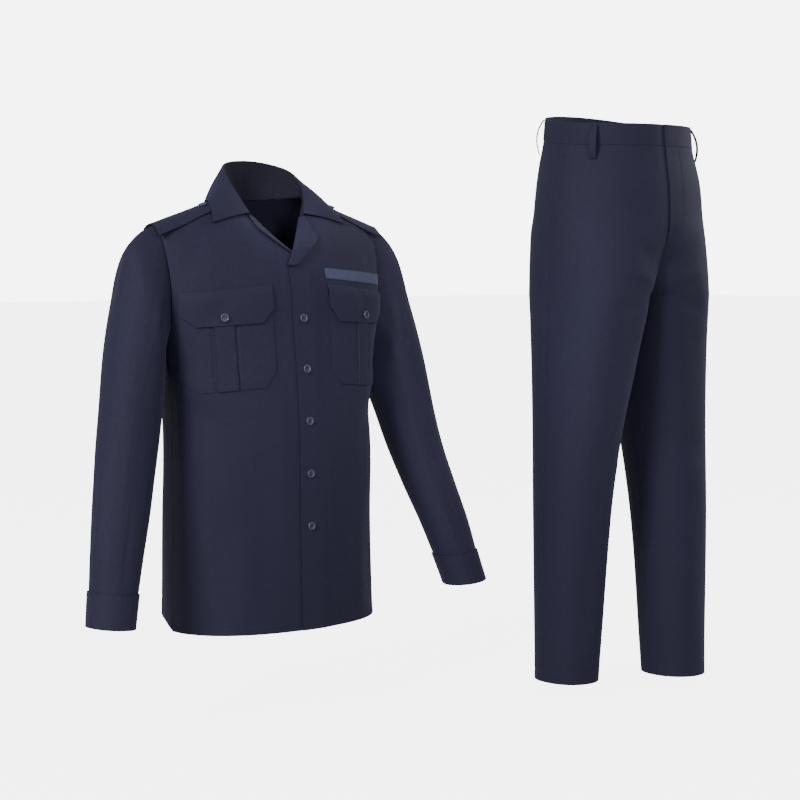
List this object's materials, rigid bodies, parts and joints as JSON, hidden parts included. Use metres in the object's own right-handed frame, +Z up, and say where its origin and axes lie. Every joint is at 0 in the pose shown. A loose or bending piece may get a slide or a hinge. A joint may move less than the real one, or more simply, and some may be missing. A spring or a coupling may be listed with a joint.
{
  "type": "flame-resistant uniform",
  "caption": "Long-sleeved open-necked work shirt with flapped chest pockets and shoulder straps, and matching trousers, in dark navy cloth, filled out as worn.",
  "frame": {"origin": "middle of the shirt's shoulder line, between the two sides of the neck, where a wearer's shoulders hold it", "axes": "+Z up, both garments face -Y, the wearer's left is +X; the trousers stand beside the shirt on its +X side and a little in front"},
  "size_m": [1.1733, 0.5601, 1.037],
  "materials": {
    "front_left": "smooth dark navy woven cloth with a soft sheen",
    "front_right": "smooth dark navy woven cloth with a soft sheen",
    "back": "smooth dark navy woven cloth with a soft sheen",
    "sleeve_left": "smooth dark navy woven cloth with a soft sheen",
    "sleeve_right": "smooth dark navy woven cloth with a soft sheen",
    "cuff_left": "smooth dark navy woven cloth with a soft sheen",
    "cuff_right": "smooth dark navy woven cloth with a soft sheen",
    "collar": "smooth dark navy woven cloth with a soft sheen",
    "lapel_left": "smooth dark navy woven cloth with a soft sheen",
    "lapel_right": "smooth dark navy woven cloth with a soft sheen",
    "pocket_left": "smooth dark navy woven cloth with a soft sheen",
    "pocket_right": "smooth dark navy woven cloth with a soft sheen",
    "pocket_flap_left": "smooth dark navy woven cloth with a soft sheen",
    "pocket_flap_right": "smooth dark navy woven cloth with a soft sheen",
    "epaulette_left": "smooth dark navy woven cloth with a soft sheen",
    "epaulette_right": "smooth dark navy woven cloth with a soft sheen",
    "trouser_front_left": "smooth dark navy woven cloth with a soft sheen",
    "trouser_front_right": "smooth dark navy woven cloth with a soft sheen",
    "trouser_back_left": "smooth dark navy woven cloth with a soft sheen",
    "trouser_back_right": "smooth dark navy woven cloth with a soft sheen",
    "waistband": "smooth dark navy woven cloth with a soft sheen",
    "belt_loop_1": "smooth dark navy woven cloth with a soft sheen",
    "belt_loop_2": "smooth dark navy woven cloth with a soft sheen",
    "belt_loop_3": "smooth dark navy woven cloth with a soft sheen",
    "belt_loop_4": "smooth dark navy woven cloth with a soft sheen",
    "belt_loop_5": "smooth dark navy woven cloth with a soft sheen",
    "name_tape": "plain slate-blue woven tape",
    "button_front_1": "dull blue-grey moulded button",
    "button_front_2": "dull blue-grey moulded button",
    "button_front_3": "dull blue-grey moulded button",
    "button_front_4": "dull blue-grey moulded button",
    "button_front_5": "dull blue-grey moulded button",
    "button_front_6": "dull blue-grey moulded button",
    "button_flap_left": "dull blue-grey moulded button",
    "button_flap_right": "dull blue-grey moulded button",
    "button_epaulette_left": "dull blue-grey moulded button",
    "button_epaulette_right": "dull blue-grey moulded button",
    "button_cuff_left": "dull blue-grey moulded button",
    "button_cuff_right": "dull blue-grey moulded button"
  },
  "bodies": {
    "root": {"front_left": "front_left", "front_right": "front_right", "back": "back", "sleeve_left": "sleeve_left", "sleeve_right": "sleeve_right", "cuff_left": "cuff_left", "cuff_right": "cuff_right", "collar": "collar", "lapel_left": "lapel_left", "lapel_right": "lapel_right", "pocket_left": "pocket_left", "pocket_right": "pocket_right", "pocket_flap_left": "pocket_flap_left", "pocket_flap_right": "pocket_flap_right", "epaulette_left": "epaulette_left", "epaulette_right": "epaulette_right", "trouser_front_left": "trouser_front_left", "trouser_front_right": "trouser_front_right", "trouser_back_left": "trouser_back_left", "trouser_back_right": "trouser_back_right", "waistband": "waistband", "belt_loop_1": "belt_loop_1", "belt_loop_2": "belt_loop_2", "belt_loop_3": "belt_loop_3", "belt_loop_4": "belt_loop_4", "belt_loop_5": "belt_loop_5", "name_tape": "name_tape", "button_front_1": "button_front_1", "button_front_2": "button_front_2", "button_front_3": "button_front_3", "button_front_4": "button_front_4", "button_front_5": "button_front_5", "button_front_6": "button_front_6", "button_flap_left": "button_flap_left", "button_flap_right": "button_flap_right", "button_epaulette_left": "button_epaulette_left", "button_epaulette_right": "button_epaulette_right", "button_cuff_left": "button_cuff_left", "button_cuff_right": "button_cuff_right"}
  },
  "joints": []
}
